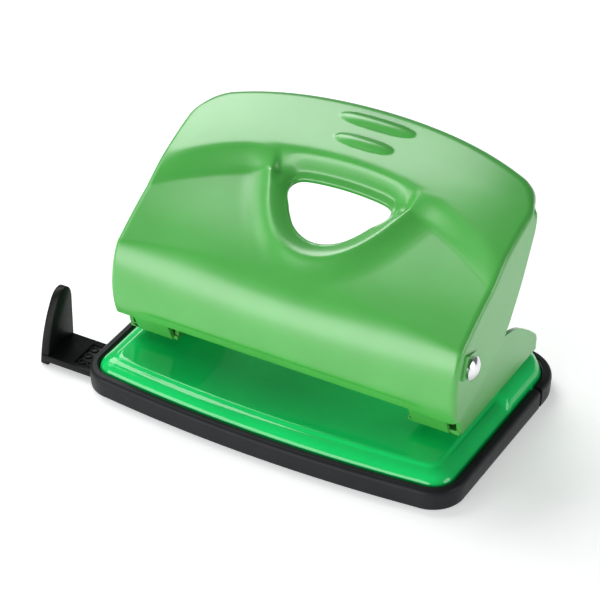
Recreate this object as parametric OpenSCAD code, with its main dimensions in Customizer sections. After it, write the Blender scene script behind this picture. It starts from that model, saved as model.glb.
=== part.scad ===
// Two-hole desk punch: a pressed-steel hood that swings on two side brackets and
// drives two spring-returned pins through the paper into a plastic chip tray.
// X runs across the punch (0 is the plane between the two holes), Y runs from the
// paper side to the back, Z is up, and the tray stands on Z = 0. Millimetres.

/* [Punching] */
// Distance between the two hole centres
hole_spacing = 80; // [80]
// Diameter of the punch pins
pin_d = 5.8; // [5:0.1:6]
// Distance from the paper stop to the hole centres
margin = 12; // [11:0.5:12]
// Gap for the paper between the base plate and the bracket webs
throat = 3; // [2.4:0.1:3]

/* [Tray] */
// Width of the plastic tray
tray_w = 108; // [106:1:112]
// Depth of the plastic tray, front to back
tray_d = 70; // [70:1:74]
// Height of the tray's rim
tray_h = 6; // [5.8:0.1:6.4]

/* [Sheet metal] */
// Thickness of the base plate and the brackets
plate_t = 1.2; // [1:0.1:1.2]
// Thickness of the hood
hood_t = 1; // [0.8:0.1:1]
// Width of the hood over its side flanges
hood_w = 98.9; // [98.9:0.1:99.4]
// Height of the floor of the base plate
floor_z = 9; // [9]

/* [Pivot] */
// Distance of the pivot in front of the tray's centre
pivot_front = 14.3; // [14:0.1:14.6]
// Height of the pivot
pivot_z = 32.9; // [32.5:0.1:33.2]
// Diameter of the pivot rivets' shanks
rivet_d = 4.4; // [4:0.1:4.6]

/* [Paper guide] */
// Width of the sliding guide bar
guide_w = 12; // [10:0.2:13]
// Height of the guide's upright stop
guide_h = 19.2; // [18:0.1:21]

/* [Hidden] */
$fn = 64;
fine = 0.01;
pin_x = hole_spacing / 2;
pin_y = -5;
pivot_y = -pivot_front;
tray_x = tray_w / 2;
tray_y = tray_d / 2;
plateau_z = floor_z + throat;
web_top = plateau_z + plate_t;
stop_y = pin_y + margin;
hood_x = hood_w / 2;
flange_in = hood_x - hood_t;
bracket_x = flange_in - 0.25;          // outer face of a bracket's outer wall
inner_x = 33.6;                        // inboard face of a bracket's inner wall
run = 0.05;                            // radial clearance of a running fit
web_back = 27.4;                       // rear end of the brackets

// Tray outline
corner_f = 9;
corner_r = 12;
front_arc = 406;
rim_w = 2.6;
plate_gap = 0.15;
tray_floor = 1;
tray_wall = 1.8;
ledge_z = 4;
slit_y = 19;
slit_w = 1.1;

// Punch pins
pin_bottom = plateau_z + 0.3;
pin_top = 34.95;
guide_z = 26;                          // underside of the upper pin guide
clip_z = 25.1;
clip_t = 0.8;
washer_t = 0.5;
spring_wire = 0.8;
spring_r = 3.75;                       // centre line radius of the spring
spring_turns = 5;
die_r = pin_d / 2 + 0.1;
nose_r = 2.5;
nose_z = pin_top + 0.05 + nose_r;

// Chip cover
cover_x = 45.5;
cover_front = -10;
cover_hinge_y = 27.8;
cover_hinge_z = 2;
cover_bottom = 0.4;
cover_t = 1.2;
knuckle_r = 1.5;
cover_pin_r = 0.75;

// Paper guide
guide_y = -21.9;
guide_bar_z = 1.1;
guide_bar_t = 2;
guide_out = 68.3;                      // outer face of the upright
guide_in = 34;                             // inner end of the bar
guide_mouth = 10.5;                        // depth of the notch through the wall and its corner
upright_t = 2.4;
recess_x0 = 50.2;
recess_l = 8.4;
recess_w = 9.6;

// ---- Helpers -------------------------------------------------------------

// Lays a (Y, Z) outline upright and runs it along X from x0 to x1
module along_x(x0, x1) {
    translate([x0, 0, 0]) rotate([90, 0, 90]) linear_extrude(x1 - x0) children();
}

// A cylinder along X
module rod_x(x0, x1, r, y, z) {
    translate([x0, y, z]) rotate([0, 90, 0]) cylinder(h = x1 - x0, r = r);
}

// The right-hand shape as drawn, or its mirror image on the left
module side(s) {
    if (s > 0) children();
    else mirror([1, 0, 0]) children();
}

// A point on a quadratic curve, and the curve as n steps after its first point
function bend(a, b, c, t) = (1 - t) * (1 - t) * a + 2 * t * (1 - t) * b + t * t * c;
function curve(a, b, c, n) = [for (i = [1 : n]) bend(a, b, c, i / n)];

// Unit normal to the left of the way from a to b
function normal(a, b) = let (d = b - a) [-d[1], d[0]] / norm(d);
// A line of points moved sideways by w, which gives the other face of a bent sheet
function beside(p, w) = [for (i = [0 : len(p) - 1])
    let (a = p[max(i - 1, 0)], b = p[min(i + 1, len(p) - 1)]) p[i] + w * normal(a, b)];
function reversed(p) = [for (i = [len(p) - 1 : -1 : 0]) p[i]];
// The closed section of a sheet whose outer face is p and whose thickness is w
function sheet(p, w) = concat(p, reversed(beside(p, w)));

// Outline of the tray in plan, set in by d all round. The front edge is bowed.
module plan(d = 0) {
    rf = corner_f - d;
    rr = corner_r - d;
    xf = tray_x - corner_f;
    xr = tray_x - corner_r;
    yf = -tray_y + 2.5 + corner_f;
    yr = tray_y - corner_r;
    translate([-tray_x + d, yf]) square([2 * (tray_x - d), yr - yf]);
    translate([-xr, yr]) square([2 * xr, rr]);
    for (s = [-1, 1]) {
        translate([s * xf, yf]) circle(rf);
        translate([s * xr, yr]) circle(rr);
    }
    intersection() {
        translate([-xf, -tray_y - 1]) square([2 * xf, yf + tray_y + 2]);
        translate([0, front_arc - tray_y]) circle(front_arc - d, $fn = 256);
    }
}

// ---- Base ----------------------------------------------------------------

module base_tray() color([0.1, 0.1, 0.11]) difference() {
    union() {
        linear_extrude(tray_h - 0.8) plan();
        translate([0, 0, tray_h - 0.8]) linear_extrude(0.8) plan(0.6);
    }
    // seat of the base plate's edge, and the chip chamber below it
    translate([0, 0, ledge_z]) linear_extrude(tray_h) plan(rim_w - plate_gap);
    difference() {
        translate([0, 0, tray_floor]) linear_extrude(tray_h) plan(rim_w + tray_wall);
        // low wall between the guide's channel and the chip chamber
        translate([-tray_x, cover_front - 2.6, 0]) cube([tray_w, 1.6, 3.8]);
        // blocks that carry the cover's hinge pins
        for (s = [-1, 1]) translate([s * (cover_x + 1.7) - 1.3, cover_hinge_y - 3, 0]) cube([2.6, 5, ledge_z]);
    }
    // opening for the chip cover
    translate([-cover_x - 0.3, cover_front - 0.3, -1])
        cube([2 * cover_x + 0.6, cover_hinge_y + 2.8 - cover_front, 4]);
    rod_x(-cover_x - 2.3, cover_x + 2.3, cover_pin_r + run, cover_hinge_y, cover_hinge_z);
    // mouth for the paper guide in the left wall
    translate([-tray_x - 1, guide_y - guide_w / 2 - 0.3, tray_floor])
        cube([guide_mouth, guide_w + 0.6, guide_bar_t + 0.6]);
    // slit in the right wall, which lets the rim flex where the cover is pulled open
    translate([tray_x - rim_w - 0.3, slit_y, -1]) cube([rim_w + 1, slit_w, tray_h + 2]);
}

module chip_cover() color([0.12, 0.12, 0.13]) {
    difference() {
        union() {
            translate([-cover_x, cover_front, cover_bottom])
                cube([2 * cover_x, cover_hinge_y - cover_front, cover_t]);
            rod_x(-cover_x, cover_x, knuckle_r, cover_hinge_y, cover_hinge_z);
            rod_x(-cover_x - 2, cover_x + 2, cover_pin_r, cover_hinge_y, cover_hinge_z);
            // stiffening rib at the free edge
            translate([-cover_x + 2, cover_front + 0.4, cover_bottom]) cube([2 * cover_x - 4, 1.2, 3]);
        }
        // finger dimple
        translate([0, cover_front + 6, cover_bottom - 9]) sphere(9.6);
    }
}

// Outer face of the base plate from the front edge to the back edge, in (Y, Z)
function plate_line() = let (f = -tray_y + rim_w, b = tray_y - rim_w) concat(
    [[f, ledge_z + 0.2]],
    curve([f, 5.6], [f + 0.6, floor_z], [f + 5, floor_z], 8),
    [[stop_y - 2.4, floor_z]],
    curve([stop_y - 1.6, floor_z], [stop_y - 0.4, floor_z], [stop_y, floor_z + throat / 2], 5),
    curve([stop_y, floor_z + throat / 2], [stop_y + 0.4, plateau_z], [stop_y + 1.8, plateau_z], 5),
    curve([b - 6.5, plateau_z], [b - 0.6, plateau_z], [b, 7], 8),
    [[b, ledge_z + 0.2]]);

// Pressed plate: a shell under a domed outline, made as the outer form less the inner one
module plate_form(d) {
    intersection() {
        along_x(-tray_x, tray_x) polygon(concat([[-tray_y, ledge_z]], beside(plate_line(), -d), [[tray_y, ledge_z]]));
        plate_steps(d);
    }
}

module plate_steps(d) {
    steps = 5;
    union() for (k = [0 : steps]) {
        a = 90 * k / steps;
        linear_extrude(floor_z - 2.2 + (plateau_z - floor_z + 2.2) * sin(a) - d)
            plan(rim_w + plate_gap + d + 3.2 * (1 - cos(a)));
    }
}

module base_plate() color([0, 0.55, 0.24]) difference() {
    plate_form(0);
    translate([0, 0, -fine]) plate_form(plate_t);
    translate([-tray_x, -tray_y - 1, -1]) cube([tray_w, tray_d + 2, ledge_z + 1.15]);
    for (s = [-1, 1]) {
        translate([s * pin_x, pin_y, 0]) cylinder(h = 20, r = die_r);
        for (y = [14, 22]) translate([s * 41, y, 0]) cylinder(h = 20, r = 1.5);
    }
}

// ---- Brackets ------------------------------------------------------------

// Side outline of a bracket's outer wall, in (Y, Z)
module outer_wall_2d() {
    polygon(concat(
        [[-14.8, plateau_z], [-19.2, pivot_z - 1.5]],
        [for (a = [180 : -7.5 : 45]) [pivot_y + 4.9 * cos(a), pivot_z + 4.9 * sin(a)]],
        [[7.5, 28]],
        curve([7.5, 28], [13.5, 27], [17.2, 24.6], 10),
        curve([17.2, 24.6], [23.5, 20.5], [27, 16.8], 10),
        curve([27, 16.8], [28, 15.6], [web_back, 13.6], 4),
        [[web_back, plateau_z]]));
}

module inner_wall_2d() {
    polygon(concat(
        [[-14.8, plateau_z], [-14.8, 20], [-10, guide_z + plate_t], [2, guide_z + plate_t]],
        curve([2, guide_z + plate_t], [12, 24], [24, 16], 5),
        [[web_back, plateau_z]]));
}

module bracket(s) color([0.3, 0.72, 0.32]) side(s) difference() {
    union() {
        // web with the lower pin guide
        translate([inner_x, -15.4, plateau_z]) cube([bracket_x - inner_x - 0.4, web_back + 15.4, plate_t]);
        along_x(bracket_x - plate_t, bracket_x) outer_wall_2d();
        along_x(inner_x, inner_x + plate_t) inner_wall_2d();
        // upper pin guide, folded in from the outer wall
        translate([inner_x, -10, guide_z]) cube([bracket_x - inner_x - 0.4, 12, plate_t]);
        // lead-in lip for the paper
        along_x(inner_x + 1.2, 45.2)
            polygon([[-14.8, plateau_z], [-15.7, plateau_z + 0.1], [-18.4, 18.2], [-17.4, 18.6], [-14.8, web_top]]);
    }
    translate([pin_x, pin_y, 0]) cylinder(h = 40, r = pin_d / 2 + run);
    rod_x(bracket_x - 2 * plate_t, bracket_x + 1, rivet_d / 2, pivot_y, pivot_z);
    for (y = [14, 22]) translate([41, y, 0]) cylinder(h = 20, r = 1.5);
}

// Rivets that hold a bracket's web down on the plateau of the base plate
module bracket_rivets(s) color([0.7, 0.71, 0.72]) side(s) for (y = [14, 22]) translate([41, y, 0]) {
    translate([0, 0, plateau_z - plate_t]) cylinder(h = 2 * plate_t, r = 1.5);
    intersection() {
        translate([0, 0, web_top]) cylinder(h = 1, r = 2.6);
        translate([0, 0, web_top + 1 - 4]) sphere(4);
    }
    translate([0, 0, plateau_z - plate_t - 0.8]) cylinder(h = 0.8, r = 2.4);
}

module bracket_left() bracket(-1);
module bracket_right() bracket(1);
module bracket_rivets_left() bracket_rivets(-1);
module bracket_rivets_right() bracket_rivets(1);

// ---- Pivot ---------------------------------------------------------------

pad_t = 0.8;                           // raised pad round the pivot hole
head_h = 1.6;
head_r = 3.15;

module pivot_rivet(s) color([0.8, 0.81, 0.82]) side(s) {
    x_head = hood_x + pad_t + 0.1;
    x_wall = bracket_x - plate_t;
    // turned profile about X: formed tail, shank and domed head
    translate([0, pivot_y, pivot_z]) rotate([0, 90, 0]) rotate_extrude() polygon(concat(
        [[0, x_wall - 1.1], [3, x_wall - 1.1], [3, x_wall], [rivet_d / 2, x_wall], [rivet_d / 2, x_head],
         [head_r - 0.15, x_head], [head_r, x_head + 0.25]],
        curve([head_r, x_head + 0.25], [head_r - 0.4, x_head + head_h], [0, x_head + head_h], 6)));
}

module pivot_rivet_left() pivot_rivet(-1);
module pivot_rivet_right() pivot_rivet(1);

// ---- Punch pins and their springs ------------------------------------------

module punch_pin(s) color([0.62, 0.63, 0.64]) translate([s * pin_x, pin_y, 0]) difference() {
    union() {
        translate([0, 0, pin_bottom]) cylinder(h = pin_top - pin_bottom - 0.5, r = pin_d / 2);
        translate([0, 0, pin_top - 0.5 - fine]) cylinder(h = 0.5 + fine, r1 = pin_d / 2, r2 = pin_d / 2 - 0.5);
    }
    // hollow-ground cutting end
    translate([0, -6, pin_bottom - 3.4]) rotate([0, 90, 0]) translate([0, 6, -6]) cylinder(h = 12, r = 4.2);
    // groove for the clip
    translate([0, 0, clip_z]) difference() {
        cylinder(h = clip_t, r = pin_d);
        translate([0, 0, -1]) cylinder(h = clip_t + 2, r = pin_d / 2 - 0.6);
    }
}

// Open ring that snaps into the pin's groove
module pin_clip(s) color([0.5, 0.5, 0.52]) translate([s * pin_x, pin_y, clip_z]) difference() {
    cylinder(h = clip_t, r = 4.4);
    translate([0, 0, -1]) cylinder(h = clip_t + 2, r = pin_d / 2 - 0.6);
    translate([-1.4, -6, -1]) cube([2.8, 6, clip_t + 2]);
}

module spring_washer(s) color([0.66, 0.67, 0.68]) translate([s * pin_x, pin_y, clip_z - washer_t]) difference() {
    cylinder(h = washer_t, r = 4.6);
    translate([0, 0, -1]) cylinder(h = washer_t + 2, r = pin_d / 2 + run);
}

// Compression spring, swept as a helix between the web and the washer
spring_low = web_top + spring_wire / 2 + 0.03;
spring_high = clip_z - washer_t - spring_wire / 2 - 0.03;
spring_steps = 20;
spring_sides = 8;
module return_spring(s) color([0.75, 0.76, 0.77]) translate([s * pin_x, pin_y, 0]) {
    rings = spring_turns * spring_steps;
    points = [for (i = [0 : rings]) let (a = 360 * i / spring_steps, z = spring_low + (spring_high - spring_low) * i / rings)
        for (j = [0 : spring_sides - 1]) let (b = 360 * j / spring_sides, r = spring_r + spring_wire / 2 * cos(b))
            [r * cos(a), r * sin(a), z + spring_wire / 2 * sin(b)]];
    walls = [for (i = [0 : rings - 1], j = [0 : spring_sides - 1])
        let (k = (j + 1) % spring_sides, m = i * spring_sides, n = m + spring_sides) [m + j, n + j, n + k, m + k]];
    ends = [[for (j = [0 : spring_sides - 1]) j],
            [for (j = [spring_sides - 1 : -1 : 0]) rings * spring_sides + j]];
    polyhedron(points, concat(walls, ends), convexity = 10);
}

module punch_pin_left() punch_pin(-1);
module punch_pin_right() punch_pin(1);
module pin_clip_left() pin_clip(-1);
module pin_clip_right() pin_clip(1);
module spring_washer_left() spring_washer(-1);
module spring_washer_right() spring_washer(1);
module return_spring_left() return_spring(-1);
module return_spring_right() return_spring(1);

// ---- Handle --------------------------------------------------------------

// Outer face of the hood's section: the skirt from its hem up to the front fold, the
// panel, the step, and the upper surface with its rolled rear edge
kink = [-18.6, 39.9];
step_foot = [11.5, 54.2];
step_top = [17.5, 60.9];
crown = [33, 64.4];
function skirt_line() = curve([-20.6, 19.2], [-23.6, 30], kink, 8);
function hood_line() = concat(
    [[-20.6, 19.2]],
    skirt_line(),
    curve(kink, [-6, 46.9], step_foot, 6),
    curve(step_foot, [13, 55], [14, 57.4], 3),
    curve([14, 57.4], [15.2, 60.2], step_top, 3),
    curve(step_top, [25, 63.1], crown, 5),
    curve(crown, [37.6, 65], [38.4, 60.5], 6));

// Outline of a side flange, in (Y, Z)
module flange_2d() {
    polygon(concat(
        [for (p = hood_line()) if (p[0] <= step_top[0]) p],
        curve([22.8, 57.6], [17, 43.5], [8.6, 33.2], 6),
        curve([8.6, 33.2], [3, 27.5], [-4, 24.3], 4)));
}

// Plan of the hood, whose rear edge is an arc
module hood_plan() {
    rear_r = 112;
    intersection() {
        translate([-hood_x, -40]) square([hood_w, 90]);
        translate([0, 38.4 - rear_r]) circle(rear_r, $fn = 128);
    }
}

// Rounded triangle through which the fingers see the paper
module opening_2d() {
    hull() {
        translate([-13, 9.8]) circle(3, $fn = 32);
        translate([13, 9.8]) circle(3, $fn = 32);
        translate([0, 2.6]) circle(8, $fn = 32);
    }
}

grip_ribs = [[22.4, 62.3, 9.2], [29.2, 63.7, 10.6]];   // [y, z, half length]
grip_tilt = 13;

module handle() color([0.36, 0.75, 0.32]) difference() {
    union() {
        intersection() {
            along_x(-hood_x, hood_x) polygon(sheet(hood_line(), -hood_t));
            linear_extrude(80) hood_plan();
        }
        for (s = [-1, 1]) side(s) {
            along_x(flange_in, hood_x) flange_2d();
            // raised pad round the pivot hole
            translate([hood_x - fine, pivot_y - 4, pivot_z - 4.2]) cube([pad_t + fine, 8, 8.4]);
        }
        // two grip ribs on the crown
        for (r = grip_ribs) translate([-r[2], r[0], r[1]]) rotate([grip_tilt, 0, 0])
            rod_x(0, 2 * r[2], 1.6, 0, -0.9);
    }
    translate([0, 0, 40]) linear_extrude(30) opening_2d();
    for (s = [-1, 1]) side(s) rod_x(flange_in - 1, hood_x + 2, rivet_d / 2 + run, pivot_y, pivot_z);
}

// Steel block welded under the hood, whose round nose presses the pin down
module pusher(s) color([0.6, 0.61, 0.62]) side(s) along_x(pin_x - 4.5, pin_x + 4.5) {
    translate([pin_y, nose_z]) circle(nose_r);
    polygon([[pin_y - nose_r, nose_z], [pin_y + nose_r, nose_z], [pin_y + nose_r, 47.3], [pin_y - nose_r, 44.9]]);
}

module pusher_left() pusher(-1);
module pusher_right() pusher(1);

// ---- Paper guide -----------------------------------------------------------

module paper_guide() color([0.16, 0.16, 0.16]) {
    bar_y = guide_y - guide_w / 2;
    difference() {
        union() {
            translate([-guide_out, bar_y, guide_bar_z]) cube([guide_out + guide_in, guide_w, guide_bar_t]);
            // fin-shaped upright that the edge of the paper rests against
            along_x(-guide_out, -guide_out + upright_t) polygon(concat(
                [[bar_y, guide_bar_z]],
                curve([bar_y, guide_bar_z], [bar_y + 1.2, 10], [bar_y + 5.6, guide_h - 2.6], 6),
                curve([bar_y + 5.6, guide_h - 2.6], [bar_y + 7.2, guide_h], [bar_y + 9.4, guide_h], 4),
                curve([bar_y + 9.4, guide_h], [bar_y + 12, guide_h], [bar_y + 12.4, guide_h - 3.6], 5),
                [[bar_y + guide_w, guide_bar_z]]));
            // foot under the outer end
            translate([-guide_out, bar_y, 0.2]) cube([3, guide_w, guide_bar_z]);
        }
        // recess of the format scale
        translate([-recess_x0 - recess_l, guide_y - recess_w / 2, guide_bar_z + guide_bar_t - 0.5]) cube([recess_l, recess_w, 1]);
    }
}

// ---- Assembly --------------------------------------------------------------

base_tray();
chip_cover();
base_plate();
bracket_left();
bracket_right();
bracket_rivets_left();
bracket_rivets_right();
pivot_rivet_left();
pivot_rivet_right();
return_spring_left();
return_spring_right();
punch_pin_left();
punch_pin_right();
pin_clip_left();
pin_clip_right();
spring_washer_left();
spring_washer_right();
handle();
pusher_left();
pusher_right();
paper_guide();
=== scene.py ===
"""Looks of the two-hole desk punch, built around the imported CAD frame.

Lengths in the shape functions are millimetres; MM turns them into Blender's metres.
X runs across the punch, Y from the paper side to the back, Z up from the desk.
"""
import math

import bmesh
import bpy
import numpy as np
from mathutils import Matrix, Vector

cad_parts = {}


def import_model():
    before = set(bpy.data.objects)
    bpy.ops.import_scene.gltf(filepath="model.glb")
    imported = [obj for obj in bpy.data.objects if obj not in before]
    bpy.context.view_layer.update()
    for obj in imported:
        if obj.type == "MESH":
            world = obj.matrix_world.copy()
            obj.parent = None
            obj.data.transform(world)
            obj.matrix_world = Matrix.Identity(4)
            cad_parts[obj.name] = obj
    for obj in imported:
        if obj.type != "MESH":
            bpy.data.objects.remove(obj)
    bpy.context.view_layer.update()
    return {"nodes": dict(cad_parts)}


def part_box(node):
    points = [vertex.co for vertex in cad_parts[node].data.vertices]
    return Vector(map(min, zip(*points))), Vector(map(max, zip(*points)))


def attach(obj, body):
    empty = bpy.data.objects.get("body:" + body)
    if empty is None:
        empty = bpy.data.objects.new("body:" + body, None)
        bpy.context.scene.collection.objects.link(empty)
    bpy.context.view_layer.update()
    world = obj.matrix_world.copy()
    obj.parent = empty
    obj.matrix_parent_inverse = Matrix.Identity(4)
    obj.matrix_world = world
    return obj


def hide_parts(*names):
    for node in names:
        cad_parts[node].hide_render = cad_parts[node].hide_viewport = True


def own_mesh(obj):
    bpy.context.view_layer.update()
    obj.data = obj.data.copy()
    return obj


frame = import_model()
MM = 0.001

# ---- Driving sizes, as in the CAD -------------------------------------------
PIN_X, PIN_Y = 40.0, -5.0
PIVOT_Y, PIVOT_Z = -14.3, 32.9
HOOD_X = 49.45                 # outer face of the hood's side flanges
SHEET = 1.0                    # thickness of the hood
FLOOR_Z, PLATEAU_Z, STOP_Y = 9.0, 12.0, 7.0
TRAY_X, TRAY_Y, TRAY_H = 54.0, 35.0, 6.0
FRONT_ARC = 406.0              # radius of the tray's bowed front edge
CORNER_F, CORNER_R = 9.0, 12.0
PANEL_EDGE = 4.6               # inset past which the corners tighten only half as fast


# ---- Small helpers ------------------------------------------------------------
def smooth(t):
    """0 below 0, 1 above 1, and a smooth rise between."""
    t = np.clip(t, 0.0, 1.0)
    return t * t * (3 - 2 * t)


def through(*points):
    """A smooth curve through given (a, b) points, run on straight past its ends."""
    a, b = np.array(points, float).T
    slope = np.gradient(b, a)

    def curve(v):
        v = np.asarray(v, float)
        inside = np.clip(v, a[0], a[-1])
        i = np.clip(np.searchsorted(a, inside) - 1, 0, len(a) - 2)
        h = a[i + 1] - a[i]
        t = (inside - a[i]) / h
        value = ((2 * t**3 - 3 * t**2 + 1) * b[i] + (t**3 - 2 * t**2 + t) * h * slope[i]
                 + (3 * t**2 - 2 * t**3) * b[i + 1] + (t**3 - t**2) * h * slope[i + 1])
        return value + np.where(v < a[0], (v - a[0]) * slope[0], 0) + np.where(v > a[-1], (v - a[-1]) * slope[-1], 0)
    return curve


def unit(v):
    return v / np.maximum(np.linalg.norm(v, axis=-1, keepdims=True), 1e-12)


def mesh_object(name, verts, faces, material, sharp=35):
    """A smooth-shaded mesh from millimetre points, with edges over the sharp angle kept crisp."""
    mesh = bpy.data.meshes.new(name)
    mesh.from_pydata([tuple(v) for v in np.asarray(verts) * MM], [], faces)
    bm = bmesh.new()
    bm.from_mesh(mesh)
    bmesh.ops.remove_doubles(bm, verts=bm.verts, dist=2e-6)
    bmesh.ops.recalc_face_normals(bm, faces=bm.faces)
    bm.to_mesh(mesh)
    bm.free()
    mesh.shade_smooth()
    mesh.set_sharp_from_angle(angle=math.radians(sharp))
    obj = bpy.data.objects.new(name, mesh)
    bpy.context.scene.collection.objects.link(obj)
    obj.data.materials.append(material)
    return obj


def grid_faces(rows, cols, closed=False, start=0):
    """Quads over a rows by cols grid of vertex numbers, closed round the columns if asked."""
    last = cols if closed else cols - 1
    return [(start + i * cols + j, start + i * cols + (j + 1) % cols,
             start + (i + 1) * cols + (j + 1) % cols, start + (i + 1) * cols + j)
            for i in range(rows - 1) for j in range(last)]


def bevelled(obj, width, segments, angle=30):
    """Rounds an object's edges by so many millimetres."""
    mod = obj.modifiers.new("edges", "BEVEL")
    mod.width = width * MM
    mod.segments = segments
    mod.limit_method = "ANGLE"
    mod.angle_limit = math.radians(angle)
    mod.harden_normals = True
    return obj


def baked(obj):
    """Applies an object's modifiers."""
    depsgraph = bpy.context.evaluated_depsgraph_get()
    obj.data = bpy.data.meshes.new_from_object(obj.evaluated_get(depsgraph))
    obj.modifiers.clear()
    return obj


def thicken(obj, wall):
    """Gives a skin its sheet's thickness in millimetres, inwards."""
    mod = obj.modifiers.new("sheet", "SOLIDIFY")
    mod.thickness = wall * MM
    mod.offset = -1
    return baked(obj)


def cut(obj, tool):
    """Takes the tool's volume out of an object, for good."""
    mod = obj.modifiers.new("cut", "BOOLEAN")
    mod.operation = "DIFFERENCE"
    mod.solver = "EXACT"
    mod.object = tool
    baked(obj)
    bpy.data.objects.remove(tool)


def block(name, low, high, material):
    """An axis-aligned box between two corners, in millimetres."""
    low, high = np.array(low, float), np.array(high, float)
    corners = [[(high if k >> a & 1 else low)[a] for a in range(3)] for k in range(8)]
    faces = [(0, 2, 3, 1), (4, 5, 7, 6), (0, 1, 5, 4), (2, 6, 7, 3), (0, 4, 6, 2), (1, 3, 7, 5)]
    return mesh_object(name, corners, faces, material)


def from_cad(name, node, material, bevel, segments):
    """A copy of a CAD node's mesh with its flat faces merged and its edges rounded."""
    mesh = frame["nodes"][node].data.copy()
    mesh.materials.clear()
    bm = bmesh.new()
    bm.from_mesh(mesh)
    bmesh.ops.remove_doubles(bm, verts=bm.verts, dist=1e-6)
    bmesh.ops.dissolve_limit(bm, angle_limit=math.radians(1.0), verts=bm.verts, edges=bm.edges)
    bm.to_mesh(mesh)
    bm.free()
    mesh.name = name
    mesh.shade_smooth()
    mesh.set_sharp_from_angle(angle=math.radians(30))
    obj = bpy.data.objects.new(name, mesh)
    bpy.context.scene.collection.objects.link(obj)
    obj.data.materials.append(material)
    return bevelled(obj, bevel, segments) if bevel else obj


# ---- Materials ------------------------------------------------------------------
def new_material(name, base, roughness, metallic=0.0, coat=0.0, coat_rough=0.1, specular=0.5):
    mat = bpy.data.materials.new(name)
    mat.use_nodes = True
    shader = mat.node_tree.nodes["Principled BSDF"]
    shader.inputs["Base Color"].default_value = (*base, 1)
    shader.inputs["Roughness"].default_value = roughness
    shader.inputs["Metallic"].default_value = metallic
    shader.inputs["Coat Weight"].default_value = coat
    shader.inputs["Coat Roughness"].default_value = coat_rough
    shader.inputs["Specular IOR Level"].default_value = specular
    return mat


def noise(mat, scale, detail=3.0, stretch=(1, 1, 1)):
    """Object-space noise, one unit per metre, pulled out along an axis by stretch."""
    nodes, links = mat.node_tree.nodes, mat.node_tree.links
    place = nodes.new("ShaderNodeTexCoord")
    mapping = nodes.new("ShaderNodeMapping")
    mapping.inputs["Scale"].default_value = stretch
    texture = nodes.new("ShaderNodeTexNoise")
    texture.inputs["Scale"].default_value = scale
    texture.inputs["Detail"].default_value = detail
    links.new(place.outputs["Object"], mapping.inputs["Vector"])
    links.new(mapping.outputs["Vector"], texture.inputs["Vector"])
    return texture.outputs["Fac"]


def vary_color(mat, source, low, high):
    """Base colour that drifts between two close shades with a noise."""
    nodes, links = mat.node_tree.nodes, mat.node_tree.links
    ramp = nodes.new("ShaderNodeValToRGB")
    ramp.color_ramp.elements[0].position = 0.3
    ramp.color_ramp.elements[1].position = 0.7
    ramp.color_ramp.elements[0].color = (*low, 1)
    ramp.color_ramp.elements[1].color = (*high, 1)
    links.new(source, ramp.inputs["Fac"])
    links.new(ramp.outputs["Color"], nodes["Principled BSDF"].inputs["Base Color"])


def vary_roughness(mat, source, low, high):
    nodes, links = mat.node_tree.nodes, mat.node_tree.links
    spread = nodes.new("ShaderNodeMapRange")
    spread.inputs["To Min"].default_value = low
    spread.inputs["To Max"].default_value = high
    links.new(source, spread.inputs["Value"])
    links.new(spread.outputs["Result"], nodes["Principled BSDF"].inputs["Roughness"])


def bump(mat, source, strength, distance):
    nodes, links = mat.node_tree.nodes, mat.node_tree.links
    node = nodes.new("ShaderNodeBump")
    node.inputs["Strength"].default_value = strength
    node.inputs["Distance"].default_value = distance
    links.new(source, node.inputs["Height"])
    links.new(node.outputs["Normal"], nodes["Principled BSDF"].inputs["Normal"])


def shaded(base, low, high):
    return tuple(c * low for c in base), tuple(min(c * high, 1) for c in base)


def enamel(name, base, roughness, coat, coat_rough, peel, specular=0.5):
    """Sprayed green enamel: a faint drift of shade and a fine orange-peel surface."""
    mat = new_material(name, base, roughness, coat=coat, coat_rough=coat_rough, specular=specular)
    vary_color(mat, noise(mat, 60), *shaded(base, 0.95, 1.05))
    vary_roughness(mat, noise(mat, 400), roughness * 0.92, roughness * 1.08)
    bump(mat, noise(mat, 900, 2.0), peel, 0.00012)
    return mat


def moulded(name, base, roughness, grain, specular):
    """Black moulded plastic with a fine eroded grain."""
    mat = new_material(name, base, roughness, specular=specular)
    vary_color(mat, noise(mat, 120), *shaded(base, 0.85, 1.15))
    vary_roughness(mat, noise(mat, 700), roughness * 0.85, roughness * 1.15)
    bump(mat, noise(mat, 2600, 4.0), grain, 0.0001)
    return mat


def metal(name, base, roughness, stretch, depth):
    """Bare metal with fine drawn or turned marks."""
    mat = new_material(name, base, roughness, metallic=1.0)
    source = noise(mat, 900, 3.0, stretch)
    vary_roughness(mat, source, roughness * 0.7, roughness * 1.3)
    bump(mat, source, depth, 0.00005)
    return mat


# base colour, roughness, then coat, coat roughness and peel
HOOD_PAINT = enamel("hood_paint", (0.068, 0.40, 0.060), 0.36, 0.7, 0.24, 0.05)
BRACKET_PAINT = enamel("bracket_paint", (0.068, 0.39, 0.060), 0.36, 0.7, 0.26, 0.05)
PLATE_PAINT = enamel("plate_paint", (0.006, 0.64, 0.135), 0.3, 0.9, 0.04, 0.03, specular=0.05)
# base colour, roughness, grain and specular
TRAY_PLASTIC = moulded("tray_plastic", (0.014, 0.0145, 0.016), 0.44, 0.12, 0.16)
GUIDE_PLASTIC = moulded("guide_plastic", (0.007, 0.007, 0.0075), 0.42, 0.12, 0.12)
# base colour, roughness, stretch of the marks and their depth
CHROME = metal("chrome", (0.82, 0.82, 0.83), 0.14, (5, 5, 5), 0.004)
SPRING_STEEL = metal("spring_steel", (0.62, 0.63, 0.65), 0.22, (1, 1, 1), 0.05)
ZINC = metal("zinc_plate", (0.58, 0.59, 0.60), 0.30, (1, 6, 1), 0.08)
TOOL_STEEL = metal("tool_steel", (0.52, 0.52, 0.54), 0.18, (1, 1, 40), 0.08)


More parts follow.
